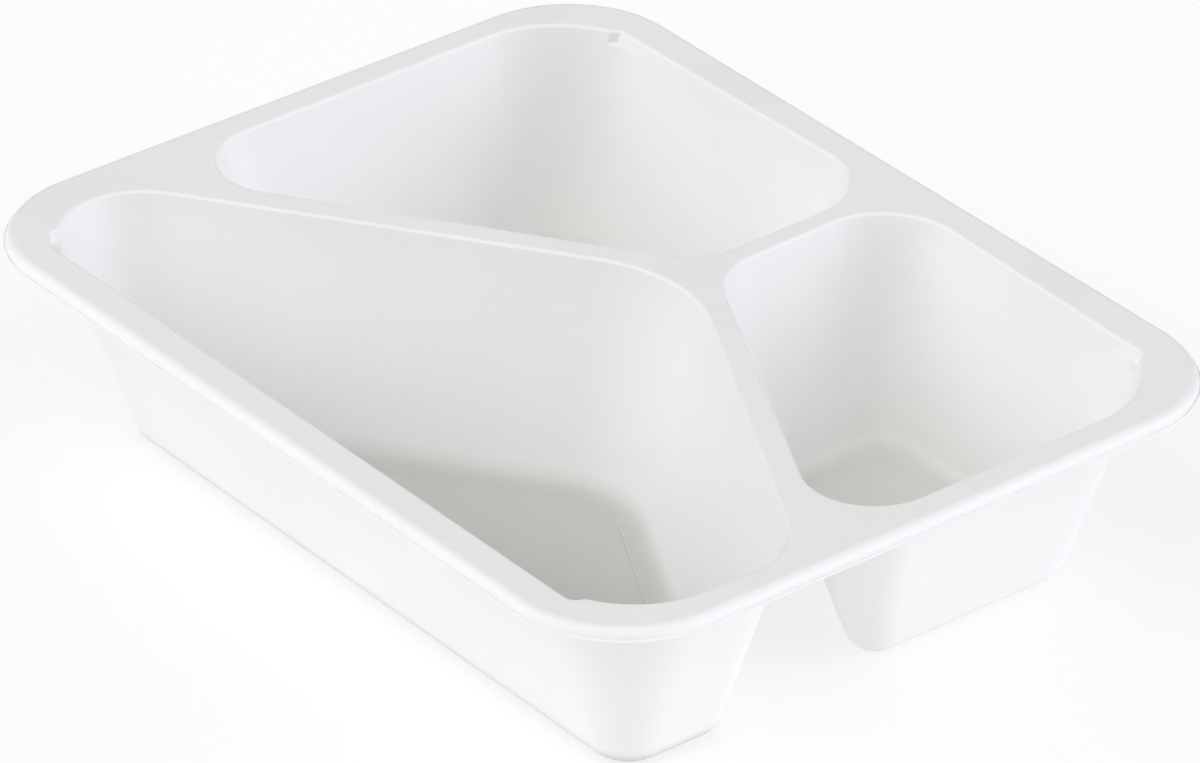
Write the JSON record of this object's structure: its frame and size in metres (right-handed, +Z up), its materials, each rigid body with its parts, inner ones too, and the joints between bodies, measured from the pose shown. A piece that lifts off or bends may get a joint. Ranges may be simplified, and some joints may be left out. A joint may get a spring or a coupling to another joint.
{
  "type": "compartment meal tray",
  "caption": "Shallow rectangular moulded plastic tray with a flat rim and drafted compartments parted by a Y-shaped web, for portioned food.",
  "frame": {"origin": "on the surface that the tray stands on, under the middle of the rim's 227 x 178 mm outline", "axes": "+X along the long side, with the large compartment's narrow end at -X; +Y along the short side, away from the large compartment; +Z up, out of the mouths"},
  "size_m": [0.227, 0.178, 0.05],
  "materials": {
    "tray_plastic": "white, smooth and satin, slightly warm, with a faint translucency in the thin walls"
  },
  "bodies": {
    "root": {"rim_flange": "tray_plastic", "large_compartment": "tray_plastic", "side_compartment": "tray_plastic", "back_compartment": "tray_plastic"}
  },
  "joints": []
}
